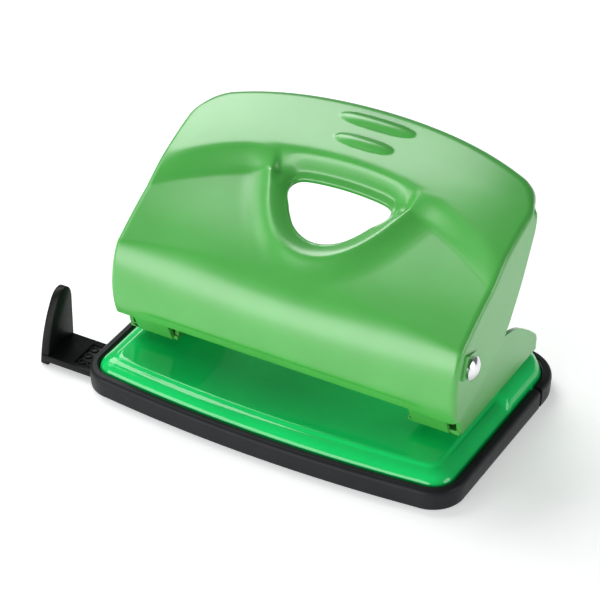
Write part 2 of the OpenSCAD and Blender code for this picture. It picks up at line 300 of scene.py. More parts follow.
# ---- Hood -------------------------------------------------------------------------
FOLD_R = 1.6                                   # radius of the side folds
PATCH_X = HOOD_X - FOLD_R                      # where the side folds start
ROUND_R = 6.5                                  # plan radius of the rear corners
CORNER_DRAW = 0.465                            # how far a square corner is drawn in to a round one
HEM = (-20.6, 19.2)                            # (Y, Z) of the hood's front edge
CREASE = (-18.6, 39.9)                         # (Y, Z) where the skirt meets the panel, at the sides
side_line = through(CREASE, (-9.7, 45.4), (-2, 49.4), (3, 53.0), (8.6, 55.6), (15, 58.0), (24, 60.5), (34, 62.2))
lower_side = through(CREASE, (-9.7, 45.4), (-2, 49.5), (6, 53.4), (14, 57.0))


def crown_z(x, y):
    """The upper surface: the side line, arched to a nearly flat top in the middle."""
    rise = 2.1 + 0.6 * smooth((y - 24) / 10)
    return side_line(y) + rise * (1 - np.abs(x / HOOD_X) ** 5)


def panel_z(x, y):
    """The front panel below the step, dished a little between its sides."""
    dip = 0.4 + 1.0 * smooth((y + 16) / 26)
    middle = 0.6 * np.exp(-(x / 22) ** 2) * (1 - smooth((y - 6) / 7))
    return lower_side(y) - (dip + middle) * (1 - np.abs(x / HOOD_X) ** 4)


def crease_y(x):
    return CREASE[0] + 3.4 * (1 - np.abs(x / HOOD_X) ** 3)


def step_top_y(x):
    return 15.8 - 0.0055 * x**2


def step_foot_y(x):
    return 13.3 - 0.0071 * x**2


def rear_y(x):
    return 33.0 - 0.0042 * x**2


def bezier(p0, p1, p2, p3, t):
    """Cubic curve, one row for each t."""
    return ((1 - t) ** 3)[:, None] * p0 + (3 * t * (1 - t) ** 2)[:, None] * p1 \
        + (3 * t**2 * (1 - t))[:, None] * p2 + (t**3)[:, None] * p3


SKIRT_ROWS, PANEL_ROWS, STEP_ROWS, CROWN_ROWS = 44, 74, 14, 58
COLUMNS = 233
HEM_TOP, HEM_SET_BACK = 21.7, 0.4              # height of the faint crease over the hem, and the step there


def hood_patch():
    """Rows of points from the hem to the rear edge, before the pressed details: (rows, columns, 3)."""
    x0 = np.linspace(-PATCH_X, PATCH_X, COLUMNS)
    yc = crease_y(x0)
    zc = panel_z(x0, yc)
    yb, yt, ye = step_foot_y(x0), step_top_y(x0), rear_y(x0)
    zt = crown_z(x0, yt)
    zb = panel_z(x0, yb)
    rows = []
    t = np.linspace(0, 1, SKIRT_ROWS, endpoint=False)
    # the skirt's section bulges forward between the hem and the crease
    lift = yc - CREASE[0]
    p1 = (np.full_like(x0, -23.0), np.full_like(x0, 26.0))
    p2 = (-22.4 + 0.55 * lift, 34.6 + 0.6 * (zc - CREASE[1]))
    skirt = [bezier(HEM[k], p1[k], p2[k], (yc, zc)[k], t) for k in (0, 1)]
    rows += [(x0, skirt[0][i], skirt[1][i]) for i in range(SKIRT_ROWS)]
    for i in range(PANEL_ROWS):
        s = i / PANEL_ROWS
        y = yc + (yb - yc) * s
        rows.append((x0, y, panel_z(x0, y)))
    for i in range(STEP_ROWS):
        s = i / STEP_ROWS
        rows.append((x0, yb + (yt - yb) * s, zb + (zt - zb) * s))
    for i in range(CROWN_ROWS):
        s = i / (CROWN_ROWS - 1)
        y = yt + (ye - yt) * s
        # the square corner of the patch is drawn in to a round one
        across = np.clip((np.abs(x0) - (PATCH_X - ROUND_R)) / ROUND_R, 0, 1)
        along = np.clip((y - (ye - ROUND_R)) / ROUND_R, 0, 1)
        x = np.sign(x0) * (np.minimum(np.abs(x0), PATCH_X - ROUND_R)
                           + ROUND_R * across * np.sqrt(1 - CORNER_DRAW * along**2))
        y = np.minimum(y, ye - ROUND_R) + ROUND_R * along * np.sqrt(1 - CORNER_DRAW * across**2)
        rows.append((x, y, crown_z(x, y)))
    return np.array(rows).transpose(0, 2, 1), x0


def relax_rows(points, weight, times=50):
    """Rounds the section's corners: each pass moves a point towards the middle of its row neighbours."""
    for _ in range(times):
        middle = (points[:-2] + points[2:]) / 2
        points[1:-1] += 0.5 * weight[1:-1, :, None] * (middle - points[1:-1])
    return points


def grid_normals(points):
    """Outward normals of a grid whose rows run up the hood and whose columns run to +X."""
    along = np.gradient(points, axis=0)
    across = np.gradient(points, axis=1)
    return unit(np.cross(across, along))


# Plan curves y = a + b x^2 + c x^4: the collar's crest, and the front edge of the finger opening
COLLAR = (-8.7, 0.034, 3.8e-5)
OPENING = (-4.7, 0.043, 8e-5)
OPENING_REAR = (13.4, 0.006)                   # the opening's rear edge: y = a - b x^2
CORNER_SHARP = 0.6                             # how tightly the opening's edges meet at its corners
COLLAR_TALL, COLLAR_REACH, CREST_R = 2.2, 5.6, 0.9
DISH = 1.9                                     # drop from the crest to the opening's edge
ROLL, ROLL_REACH = 1.4, 2.4                    # depth and width of the rolled rear edge
RIBS = ((21.8, 8.4, 2.0), (29.0, 10.9, 2.1))   # centre line Y, half length, half width
RIB_TALL = 1.15


def before(line, x, y):
    """Distance in front of a plan curve, square to it; negative behind it."""
    a, b, c = line
    low = a + b * x**2 + c * x**4
    return (low - y) / np.sqrt(1 + (2 * b * x + 4 * c * x**3) ** 2)


def opening_gap(x, y):
    """Distance outside the finger opening; negative inside it."""
    front = before(OPENING, x, y)
    rear = y - OPENING_REAR[0] + OPENING_REAR[1] * x**2
    k = CORNER_SHARP
    return np.logaddexp(k * front, k * rear) / k


def pressed_height(x, y):
    """Height of the collar, the dished rim of the opening and the two grip ribs over the bare sheet."""
    collar = before(COLLAR, x, y)
    hole = opening_gap(x, y)
    tall = COLLAR_TALL * (1 - smooth((y - 9.5) / 4.5))
    eased = np.hypot(np.clip(collar, 0, None), CREST_R) - CREST_R
    outside = tall * np.clip(1 - eased / COLLAR_REACH, 0, 1) ** 2.2
    inward = np.clip(-collar, 0, None)
    share = inward / (inward + np.maximum(hole, 0.02))
    drop = DISH * share**1.5 * (1 - smooth((y - 7.5) / 5))
    inside = (tall - drop) * (1 - smooth((y - 6.5) / 4.5) * smooth(share * 2))
    roll = ROLL * smooth((y - 3) / 6) * np.clip(1 - hole / ROLL_REACH, 0, 1) ** 2
    height = np.where(collar > 0, outside, inside - roll)
    for y0, half, width in RIBS:
        reach = (np.abs(x / half) ** 2.8 + np.abs((y - y0) / width) ** 2.2) ** (1 / 2.4)
        height = height + RIB_TALL * np.clip(1 - reach**2.2, 0, 1) ** 0.85
    return height


def hood_shell():
    """The patch with its creases eased, its hem set back and the details pressed in: (rows, columns, 3)."""
    points, x0 = hood_patch()
    rows = np.arange(points.shape[0])[:, None]
    crease, foot = SKIRT_ROWS, SKIRT_ROWS + PANEL_ROWS
    top = foot + STEP_ROWS
    middle = 1 - smooth((np.abs(x0)[None] - 8) / 24)
    near = lambda row, reach: np.exp(-((rows - row) / reach) ** 2)
    weight = np.clip(near(crease, 9) * (0.10 + 0.9 * middle) + near(foot, 7) * 0.22 + near(top, 7) * 0.32, 0, 1)
    weight[:3] = 0
    points = relax_rows(points, weight)
    # the hem is set back a little below a faint crease, except near the sides
    hem = (1 - smooth((points[..., 2] - HEM_TOP) / 0.7)) * (1 - smooth((np.abs(points[..., 0]) - 36) / 6))
    points[..., 1] += HEM_SET_BACK * hem
    base = grid_normals(points)
    points = points + base * pressed_height(points[..., 0], points[..., 1])[..., None] * \
        smooth((points[..., 1] + 16) / 3)[..., None] * (rows > SKIRT_ROWS - 12)[..., None]
    return points


def outline_of(points):
    """The patch's border from the left hem, up over the rear and down to the right hem, as indices."""
    n, m = points.shape[:2]
    left = [(i, 0) for i in range(n)]
    rear = [(n - 1, j) for j in range(1, m)]
    right = [(i, m - 1) for i in range(n - 2, -1, -1)]
    return left + rear + right


def flange_edge():
    """Free edge of a side flange in (Y, Z), from the hem's corner up to the rear corner."""
    lower = through((-19.0, 19.2), (-17.0, 20.0), (-12, 21.7), (-5.4, 24.0), (0, 26.6), (5.1, 30.0), (8.0, 33.2))
    y = np.linspace(-19.0, 8.0, 60)
    first = np.stack([y, lower(y)], -1)
    upper = through((33.2, 8.0), (41.2, 13.6), (48, 17.4), (54.0, 20.3), (57, 20.7), (60.0, 20.8))
    z = np.linspace(33.2, 60.0, 50)[1:]
    return np.concatenate([first, np.stack([upper(z), z], -1)])


def resample(line, count):
    """The same line in evenly spaced points."""
    step = np.linalg.norm(np.diff(line, axis=0), axis=1)
    run = np.concatenate([[0], np.cumsum(step)])
    at = np.linspace(0, run[-1], count)
    return np.stack([np.interp(at, run, line[:, k]) for k in range(line.shape[1])], -1)


FOLD_STEPS = 7
FLANGE_STEPS = 24
REAR_LIP = 1.2                 # length of the short lip below the rear curl
CURL_R = 3.2                   # radius of the rear curl
CORNER_EASE = 10               # border points over which a flange runs into the rear curl


def fold_down(points):
    """Border rings that fold the side edges into flanges and the rear edge into a short curl."""
    index = np.array(outline_of(points))
    n = points.shape[0]
    p = points[index[:, 0], index[:, 1]]
    normals = grid_normals(points)[index[:, 0], index[:, 1]]
    h = 0.1
    slope = [(crown_z(p[:, 0] + dx, p[:, 1] + dy) - crown_z(p[:, 0] - dx, p[:, 1] - dy)) / (2 * h)
             for dx, dy in ((h, 0), (0, h))]
    bare = unit(np.stack([-slope[0], -slope[1], np.ones(len(p))], -1))
    upper = smooth((index[:, 0] - (n - CROWN_ROWS * 0.7)) / 10)[:, None]
    normals = unit(normals * (1 - upper) + bare * upper)
    count = len(index)
    along = unit(np.gradient(p, axis=0))
    plan = unit(np.stack([-along[:, 1], along[:, 0], np.zeros(count)], -1))
    sign = np.where(np.arange(count) < count / 2, -1.0, 1.0)
    place = np.minimum(np.arange(count), count - 1 - np.arange(count))
    straight = place < n - CROWN_ROWS // 2
    plan[straight] = np.stack([sign, 0 * sign, 0 * sign], -1)[straight]
    for _ in range(10):
        plan[1:-1] = unit(plan[:-2] + 2 * plan[1:-1] + plan[2:])
    across = np.cross(along, normals)
    across = unit(across * np.sign(np.sum(across * plan, -1, keepdims=True)))
    down = unit(np.sum(normals * plan, -1, keepdims=True) * plan - normals)
    rear = smooth((place - (n - 8)) / 16)
    radius = (FOLD_R + (CURL_R - FOLD_R) * rear) * math.pi / 2 / FOLD_STEPS
    rings, here = [p], p.copy()
    for k in range(FOLD_STEPS):
        angle = (k + 0.5) / FOLD_STEPS * math.pi / 2
        here = here + unit(across * math.cos(angle) + down * math.sin(angle)) * radius[:, None]
        rings.append(here)
    edge = resample(flange_edge(), n)
    side = np.minimum(place, n - 1)
    target = np.stack([sign * HOOD_X, edge[side, 0], edge[side, 1]], -1)
    curl = here + down * REAR_LIP
    share = smooth((place - (n - 1 - CORNER_EASE)) / CORNER_EASE)[:, None]
    target = target * (1 - share) + curl * share
    for k in range(1, FLANGE_STEPS + 1):
        rings.append(here + (target - here) * k / FLANGE_STEPS)
    return np.array(rings)


SNAP = 0.12                    # a corner nearer the outline than this share of its edge moves onto it
TURN_STEPS = 5


def open_fingers(bm):
    """Cuts the finger opening out of the sheet along its outline."""
    above = [v for v in bm.verts if v.co.z > 0.040 and abs(v.co.x) < 0.022 and -0.012 < v.co.y < 0.018]
    gap = {v: opening_gap(v.co.x / MM, v.co.y / MM) for v in above}
    on_edge = {}
    for v in above:
        for e in v.link_edges:
            o = e.other_vert(v)
            if o in gap and gap[v] * gap[o] < 0 and gap[v] / (gap[v] - gap[o]) < SNAP:
                v.co = v.co.lerp(o.co, gap[v] / (gap[v] - gap[o]))
                gap[v] = 0
                on_edge[v] = True
    for e in [e for e in bm.edges if all(v in gap for v in e.verts)]:
        v, o = e.verts
        if gap[v] * gap[o] < 0:
            fresh = bmesh.utils.edge_split(e, v, gap[v] / (gap[v] - gap[o]))[1]
            gap[fresh] = 0
            on_edge[fresh] = True
    for f in dict.fromkeys(f for v in on_edge for f in v.link_faces):
        pair = [v for v in f.verts if v in on_edge]
        if len(pair) == 2 and not any(set(e.verts) == set(pair) for e in f.edges):
            bmesh.utils.face_split(f, *pair)
    inside = [f for f in bm.faces if all(v in gap for v in f.verts) and sum(gap[v] for v in f.verts) < 0
              and all(gap[v] <= 0 for v in f.verts)]
    bmesh.ops.delete(bm, geom=inside, context="FACES")


def turn_in(bm, radius, wall):
    """Turns the edge of the finger opening down through a quarter circle and a short wall."""
    rim = [e for e in bm.edges if e.is_boundary
           and all(abs(v.co.x) < 0.020 and -0.010 < v.co.y < 0.0165 and v.co.z > 0.03 for v in e.verts)]
    loop = dict.fromkeys(v for e in rim for v in e.verts)
    own = set(rim)
    beside = {v: [e.other_vert(v) for e in v.link_edges if e in own] for v in loop}
    for _ in range(4):
        middle = {v: (beside[v][0].co + beside[v][1].co) / 2 for v in loop}
        for v in loop:
            v.co = v.co.lerp(middle[v], 0.5)
    h = 0.05
    ways = {}
    for v in loop:
        x, y = v.co.x / MM, v.co.y / MM
        grad = Vector((opening_gap(x + h, y) - opening_gap(x - h, y),
                       opening_gap(x, y + h) - opening_gap(x, y - h), 0)) / (2 * h)
        normal = sum((f.normal for f in v.link_faces), Vector()).normalized()
        ways[v] = (grad, normal)
    for _ in range(14):
        ways = {v: tuple((ways[v][k] * 2 + ways[beside[v][0]][k] + ways[beside[v][1]][k]).normalized() for k in (0, 1))
                for v in loop}
    ways = {v: (-(grad - normal * grad.dot(normal)).normalized(), normal) for v, (grad, normal) in ways.items()}
    angles = [(k + 0.5) / TURN_STEPS * math.pi / 2 for k in range(TURN_STEPS)]
    steps = [(math.cos(a), math.sin(a), radius * math.pi / 2 / TURN_STEPS) for a in angles] + [(0, 1, wall / 2)] * 2
    # rings are built by hand: an extrude operator numbers its edges differently on each run
    pairs = [tuple(e.verts) for e in rim]
    for c, s, length in steps:
        fresh = {}
        for v, (inward, normal) in ways.items():
            fresh[v] = bm.verts.new(v.co + (inward * c - normal * s) * length * MM)
        for a, b in pairs:
            bm.faces.new((a, b, fresh[b], fresh[a]))
        pairs = [(fresh[a], fresh[b]) for a, b in pairs]
        ways = {fresh[v]: way for v, way in ways.items()}


def face_up(bm):
    """Makes the faces agree, with the highest one looking up."""
    bmesh.ops.recalc_face_normals(bm, faces=bm.faces)
    crown = max(bm.faces, key=lambda f: f.calc_center_median().z)
    if crown.normal.z < 0:
        bmesh.ops.reverse_faces(bm, faces=bm.faces)


def make_hood():
    points = hood_shell()
    rings = fold_down(points)
    n, m = points.shape[:2]
    verts = points.reshape(-1, 3)
    faces = grid_faces(n, m)
    start = len(verts)
    levels, count = rings.shape[:2]
    verts = np.concatenate([verts, rings.reshape(-1, 3)])
    faces += [(a, d, c, b) for a, b, c, d in grid_faces(levels, count, start=start)]
    hood = mesh_object("hood", verts, faces, HOOD_PAINT)
    bm = bmesh.new()
    bm.from_mesh(hood.data)
    bmesh.ops.remove_doubles(bm, verts=bm.verts, dist=1e-7)
    open_fingers(bm)
    face_up(bm)
    turn_in(bm, radius=0.9, wall=0.25)
    face_up(bm)
    bm.to_mesh(hood.data)
    bm.free()
    thicken(hood, SHEET)
    hood.data.shade_smooth()
    hood.data.set_sharp_from_angle(angle=math.radians(48))
    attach(hood, "handle")
    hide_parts("handle")


def make_pivot_pad(side):
    """The half-pierced pad round the pivot hole: its front edge stands proud, its rear edge is flush."""
    lean = math.radians(17)
    outline = [(-3.9, -2.5), (3.4, -2.5), (3.4, 3.9), (-3.9, 3.9)]
    proud = (0.8, 0.02, 0.02, 0.8)
    verts = []
    for level in (0, 1):
        for (a, b), tall in zip(outline, proud):
            y = PIVOT_Y + a * math.cos(lean) + b * math.sin(lean)
            z = PIVOT_Z - a * math.sin(lean) + b * math.cos(lean)
            verts.append((side * (HOOD_X - 0.05 + (tall if level else 0)), y, z))
    faces = [(0, 1, 2, 3), (4, 7, 6, 5)] + [(k, (k + 1) % 4, (k + 1) % 4 + 4, k + 4) for k in range(4)]
    pad = mesh_object("pivot_pad_" + ("right" if side > 0 else "left"), verts, faces, HOOD_PAINT)
    bevelled(pad, 0.15, 3)
    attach(pad, "handle")


# ---- Base plate and tray ----------------------------------------------------------
def front_y(x, inset):
    """Front edge of the plan outline, bowed, set in by so much."""
    return FRONT_ARC - TRAY_Y - np.sqrt((FRONT_ARC - inset) ** 2 - np.asarray(x, float) ** 2)


SIDE_STEPS = 70                # points along each side of the plan outline


def plan_loop(inset, corner_steps=14, edge_steps=60):
    """The tray's outline set in by so much, anticlockwise from the front left, in (X, Y)."""
    rf, rr = (r - inset + 0.5 * max(inset - PANEL_EDGE, 0) for r in (CORNER_F, CORNER_R))
    xf, xr = TRAY_X - inset - rf, TRAY_X - inset - rr
    front_centre = float(front_y(xf, inset)) + rf
    rear_centre = TRAY_Y - inset - rr
    loop = [(x, float(front_y(x, inset))) for x in np.linspace(-xf, xf, edge_steps, endpoint=False)]

    def corner(cx, cy, r, start):
        return [(cx + r * math.cos(a), cy + r * math.sin(a))
                for a in np.radians(np.linspace(start, start + 90, corner_steps))]

    up = np.linspace(front_centre, rear_centre, SIDE_STEPS)[1:-1]
    across = np.linspace(xr, -xr, edge_steps)[1:-1]
    loop += corner(xf, front_centre, rf, -90) + [(TRAY_X - inset, y) for y in up]
    loop += corner(xr, rear_centre, rr, 0) + [(x, TRAY_Y - inset) for x in across]
    loop += corner(-xr, rear_centre, rr, 90) + [(-TRAY_X + inset, y) for y in up[::-1]]
    loop += corner(-xf, front_centre, rf, 180)
    return np.array(loop)


def sweep_loops(profile):
    """A ring of the plan outline through (inset, z) pairs."""
    rings = []
    for inset, z in profile:
        loop = plan_loop(inset)
        rings.append(np.column_stack([loop, np.full(len(loop), z)]))
    return np.concatenate(rings), grid_faces(len(rings), len(rings[0]), closed=True)


def arc_profile(d0, z0, d1, z1, bulge, steps):
    """Points of a quarter-ellipse from (d0, z0) to (d1, z1); bulge +1 is rounded outwards."""
    out = []
    for k in range(1, steps + 1):
        a = k / steps * math.pi / 2
        if bulge > 0:
            out.append((d0 + (d1 - d0) * (1 - math.cos(a)), z0 + (z1 - z0) * math.sin(a)))
        else:
            out.append((d0 + (d1 - d0) * math.sin(a), z0 + (z1 - z0) * (1 - math.cos(a))))
    return out


RIM_W = 2.6                    # width of the tray's rim
TRAY_FLOOR = 1.0               # thickness of the tray's floor
GUIDE_GAP = 0.35               # room beside the guide's bar where it leaves the tray
MOUTH_END = -44.5              # how far in the guide's mouth runs
THUMB_SLOT = (19.0, 20.1)      # Y range of the slit in the right wall


def make_tray():
    profile = [(5.0, 0.0), (0.7, 0.0)] + arc_profile(0.7, 0.0, 0.25, 0.5, -1, 3)
    profile += [(0.1, 2.5), (0.0, TRAY_H - 1.5)]
    profile += arc_profile(0.0, TRAY_H - 1.5, 1.3, TRAY_H, 1, 8)
    profile += [(RIM_W - 0.6, TRAY_H)] + arc_profile(RIM_W - 0.6, TRAY_H, RIM_W - 0.1, TRAY_H - 0.5, 1, 4)
    profile += [(RIM_W - 0.1, 4.0), (RIM_W + 1.8, 4.0), (RIM_W + 1.8, TRAY_FLOOR), (5.0, TRAY_FLOOR)]
    verts, faces = sweep_loops(profile)
    tray = mesh_object("tray_shell", verts, faces, TRAY_PLASTIC)
    # floor with the opening for the chip cover
    cover_low, cover_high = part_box("chip_cover")
    hole = (cover_low[0] / MM + 1.7, cover_low[1] / MM - 0.3, cover_high[0] / MM - 1.7, cover_high[1] / MM + 0.6)
    bm = bmesh.new()
    bm.from_mesh(tray.data)
    for z in (0.0, TRAY_FLOOR):
        ring = [e for e in bm.edges if all(abs(v.co.z / MM - z) < 1e-3 for v in e.verts) and e.is_boundary]
        corners = [bm.verts.new((hole[a] * MM, hole[b] * MM, z * MM)) for a, b in ((0, 1), (2, 1), (2, 3), (0, 3))]
        inner = [bm.edges.new((corners[k], corners[(k + 1) % 4])) for k in range(4)]
        bmesh.ops.triangle_fill(bm, edges=ring + inner, use_beauty=True)
    loose_edges = [e for e in bm.edges if e.is_boundary]
    low = sorted([e for e in loose_edges if e.verts[0].co.z < 0.0005], key=lambda e: e.index)
    high = [e for e in loose_edges if e.verts[0].co.z > 0.0005]
    if low and high:
        bmesh.ops.bridge_loops(bm, edges=low + high)
    bmesh.ops.recalc_face_normals(bm, faces=bm.faces)
    bm.to_mesh(tray.data)
    bm.free()
    tray.data.set_sharp_from_angle(angle=math.radians(35))
    low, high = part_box("paper_guide")
    y0, y1 = low[1] / MM - GUIDE_GAP, high[1] / MM + GUIDE_GAP
    cut(tray, block("guide_mouth", (-60, y0, TRAY_FLOOR), (MOUTH_END, y1, 3.7), TRAY_PLASTIC))
    cut(tray, block("thumb_slot", (TRAY_X - RIM_W - 0.3, THUMB_SLOT[0], -1), (60, THUMB_SLOT[1], TRAY_H + 1),
                    TRAY_PLASTIC))
    tray.data.shade_smooth()
    tray.data.set_sharp_from_angle(angle=math.radians(35))
    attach(tray, "base")
    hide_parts("base_tray")


def plate_top(y):
    """Height of the plate's flat: the floor, the step that stops the paper, and the plateau."""
    rise = (y - (STOP_Y - 1.1)) / 2.6
    return FLOOR_Z + (PLATEAU_Z - FLOOR_Z) * smooth(rise)


PLATE_EDGE = RIM_W + 0.15
PLATE_FOOT = 4.2               # lower edge of the plate's skirt
PLATE_SHEET = 1.2
BORE_R = 3.0                   # the plate's holes for the pins
PLATE_DEPTH = 3.9              # the shoulder's drop where the floor is lowest
PLATE_FLAT = 6.0               # distance inside the edge at which the plate is flat
# height below the flat by distance inside the edge: a broad shoulder, a ledge and a small step
PLATE_DROP = through((0, PLATE_DEPTH), (0.4, 2.95), (1.1, 1.95), (2.0, 1.25), (2.9, 0.86), (3.5, 0.66), (4.1, 0.2),
                     (4.7, 0.0), (PLATE_FLAT, 0.0))
FLAT_RINGS = 70                # rings from the flat's edge to its middle line


def plate_height(inside, x, y):
    """Height of the pressed plate; the shoulder is broader at the sides than in front."""
    side = smooth((np.abs(x) - 42) / 8) * smooth((y + 30) / 10)
    drop = np.clip(PLATE_DROP(np.minimum(inside / (1 + 0.28 * side), PLATE_FLAT)), 0, PLATE_DEPTH)
    return plate_top(y) - drop * (plate_top(y) - FLOOR_Z + PLATE_DEPTH) / PLATE_DEPTH


def make_base_plate():
    """The plate as rings that follow its outline, from the skirt's foot up, and then close on its middle line."""
    insets = [0, 0.05, 0.12, 0.22, 0.35, 0.5, 0.7, 0.9, 1.15, 1.4, 1.7, 2.0, 2.4, 2.8, 3.1, 3.3, 3.5, 3.65, 3.8,
              3.95, 4.1, 4.25, 4.4, 4.6, 4.8, 5.0, 5.25, 5.5, 5.75, PLATE_FLAT]
    loops = [plan_loop(PLATE_EDGE + d, 20, 130) for d in insets]
    rings = [np.column_stack([loops[0], np.full(len(loops[0]), PLATE_FOOT)])]
    for d, loop in zip(insets, loops):
        rings.append(np.column_stack([loop, plate_height(d, loop[:, 0], loop[:, 1])]))
    outer = loops[-1]
    spine = np.column_stack([np.clip(outer[:, 0], -16, 16), np.full(len(outer), 0.0)])
    for k in range(1, FLAT_RINGS + 1):
        flat = outer + (spine - outer) * k / FLAT_RINGS
        rings.append(np.column_stack([flat, plate_top(flat[:, 1])]))
    verts = np.concatenate(rings)
    faces = grid_faces(len(rings), len(outer), closed=True)
    plate = mesh_object("base_plate_skin", verts, faces, PLATE_PAINT, sharp=60)
    bm = bmesh.new()
    bm.from_mesh(plate.data)
    top = max(bm.faces, key=lambda f: f.calc_area())
    if top.normal.z < 0:
        bmesh.ops.reverse_faces(bm, faces=bm.faces)
    bm.to_mesh(plate.data)
    bm.free()
    thicken(plate, PLATE_SHEET)
    for s in (-1, 1):
        bpy.ops.mesh.primitive_cylinder_add(vertices=64, radius=BORE_R * MM, depth=10 * MM,
                                            location=(s * PIN_X * MM, PIN_Y * MM, FLOOR_Z * MM))
        cut(plate, bpy.context.object)
    plate.data.shade_smooth()
    plate.data.set_sharp_from_angle(angle=math.radians(50))
    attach(plate, "base")
    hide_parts("base_plate")


# ---- Paper guide --------------------------------------------------------------------
def prism_x(name, outline, x0, x1, material):
    """A (Y, Z) outline run along X."""
    n = len(outline)
    verts = [(x, y, z) for x in (x0, x1) for y, z in outline]
    faces = [tuple(range(n - 1, -1, -1)), tuple(range(n, 2 * n))]
    faces += [(k, (k + 1) % n, n + (k + 1) % n, n + k) for k in range(n)]
    return mesh_object(name, verts, faces, material, sharp=25)


def curve_points(a, b, c, count):
    t = np.linspace(0, 1, count)[1:, None]
    return ((1 - t) ** 2 * np.array(a) + 2 * t * (1 - t) * np.array(b) + t**2 * np.array(c)).tolist()


def joined(name, objs):
    """Joins objects into the first and renames it."""
    bpy.ops.object.select_all(action="DESELECT")
    for o in objs:
        o.select_set(True)
    bpy.context.view_layer.objects.active = objs[0]
    bpy.ops.object.join()
    objs[0].name = name
    return objs[0]


FIN_FOOT, FIN_T = 0.25, 2.4    # the upright's lowest edge and its thickness
WINDOW_X = (-58.6, -50.2)      # the recessed format window
WINDOW_HALF, WINDOW_DEEP = 4.8, 0.7
RINGS_X, RINGS_ACROSS, RINGS_ALONG = -56.1, 1.25, 3.0    # middle of the window's rings, and their spacing


def make_guide():
    low, high = (np.array(c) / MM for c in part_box("paper_guide"))
    y0, y1 = low[1], high[1]
    x0, x1 = low[0], high[0]
    bar_z, bar_top, top = 1.1, 3.1, high[2]
    bar = block("guide_bar", (x0 + 0.3, y0, bar_z), (x1, y1, bar_top), GUIDE_PLASTIC)
    middle = (y0 + y1) / 2
    cut(bar, block("format_window", (WINDOW_X[0], middle - WINDOW_HALF, bar_top - WINDOW_DEEP),
                   (WINDOW_X[1], middle + WINDOW_HALF, 9), GUIDE_PLASTIC))
    baked(bevelled(bar, 0.35, 3))
    outline = [[y0, FIN_FOOT], [y0, bar_z]]
    outline += curve_points((y0, bar_z), (y0 + 1.2, 10), (y0 + 5.6, top - 2.6), 12)
    outline += curve_points((y0 + 5.6, top - 2.6), (y0 + 7.2, top), (y0 + 9.4, top), 8)
    outline += curve_points((y0 + 9.4, top), (y0 + 12, top), (y0 + 12.4, top - 3.6), 8)
    outline += [[y1, bar_z], [y1, FIN_FOOT]]
    fin = prism_x("guide_fin", outline, x0, x0 + FIN_T, GUIDE_PLASTIC)
    baked(bevelled(fin, 0.3, 3, 40))
    bits = [bar, fin]
    # round mark left by the mould's ejector, and three pairs of raised rings in the window
    bpy.ops.mesh.primitive_torus_add(major_radius=1.4 * MM, minor_radius=0.12 * MM, major_segments=48, minor_segments=8,
                                     location=((x0 + 6.0) * MM, (middle + 2.9) * MM, bar_top * MM))
    bits.append(bpy.context.object)
    for k in range(3):
        for s in (-1, 1):
            place = ((RINGS_X + s * RINGS_ACROSS) * MM, (middle + (k - 1) * RINGS_ALONG) * MM, (bar_top - 0.62) * MM)
            bpy.ops.mesh.primitive_torus_add(major_radius=0.95 * MM, minor_radius=0.28 * MM, major_segments=32,
                                             minor_segments=10, location=place)
            bits.append(bpy.context.object)
    for bit in bits:
        if not bit.data.materials:
            bit.data.materials.append(GUIDE_PLASTIC)
        bit.data.shade_smooth()
    guide = joined("guide_body", bits)
    guide.data.set_sharp_from_angle(angle=math.radians(35))
    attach(guide, "guide")
    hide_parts("paper_guide")


# ---- Small steel parts ------------------------------------------------------------------
def lathe_x(name, profile, side, material):
    """A turned shape about the pivot line from (x, radius) pairs, on one side."""
    steps = 64
    verts = []
    for x, r in profile:
        for k in range(steps):
            a = 2 * math.pi * k / steps
            verts.append((side * x, PIVOT_Y + r * math.cos(a), PIVOT_Z + r * math.sin(a)))
    return mesh_object(name, verts, grid_faces(len(profile), steps, closed=True), material, sharp=50)


def make_rivet(side):
    name = "right" if side > 0 else "left"
    low, high = (np.array(c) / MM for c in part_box("pivot_rivet_" + name))
    head = max(abs(low[0]), abs(high[0]))
    inner = min(abs(low[0]), abs(high[0]))
    # the closed tail, the shank, and a shallow dome for the head
    profile = [(inner, 0.01), (inner, 2.6), (inner + 0.3, 3.0), (inner + 1.1, 3.0), (inner + 1.1, 2.2)]
    profile += [(head - 1.6, 2.2), (head - 1.6, 3.0), (head - 1.5, 3.12)]
    dome, head_r, dome_steps = 4.55, 3.15, 13
    for k in range(dome_steps + 1):
        a = math.asin(head_r / dome) * (1 - k / dome_steps)
        profile.append((head - dome + dome * math.cos(a), max(dome * math.sin(a), 0.004)))
    rivet = lathe_x("rivet_" + name, profile, side, CHROME)
    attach(rivet, "base")
    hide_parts("pivot_rivet_" + name)


def make_spring(side):
    """A real coil with closed ends, as tall as the CAD spring."""
    name = "right" if side > 0 else "left"
    node = "return_spring_" + name
    low, high = (np.array(c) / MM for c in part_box(node))
    wire, radius, turns = 0.4, 3.75, 5.0
    closing = 0.06             # how much the end turns are drawn together
    z0, z1 = low[2] + wire, high[2] - wire
    steps, sides = 48, 12
    total = int(turns * steps)
    verts = []
    for i in range(total + 1):
        a = 2 * math.pi * i / steps
        share = i / total
        z = z0 + (z1 - z0) * (share - closing * math.sin(2 * math.pi * share))
        for j in range(sides):
            b = 2 * math.pi * j / sides
            r = radius + wire * math.cos(b)
            verts.append((side * PIN_X + r * math.cos(a), PIN_Y + r * math.sin(a), z + wire * math.sin(b)))
    faces = grid_faces(total + 1, sides, closed=True)
    faces += [tuple(range(sides)), tuple(range(total * sides + sides - 1, total * sides - 1, -1))]
    coil = mesh_object("coil_" + name, verts, faces, SPRING_STEEL, sharp=50)
    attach(coil, "base")
    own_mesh(coil)
    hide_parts(node)


def dress(node, name, material, body, bevel=0.12, segments=2):
    """A CAD node shown with rounded edges and its own finish."""
    piece = from_cad(name, node, material, bevel, segments)
    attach(piece, body)
    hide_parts(node)


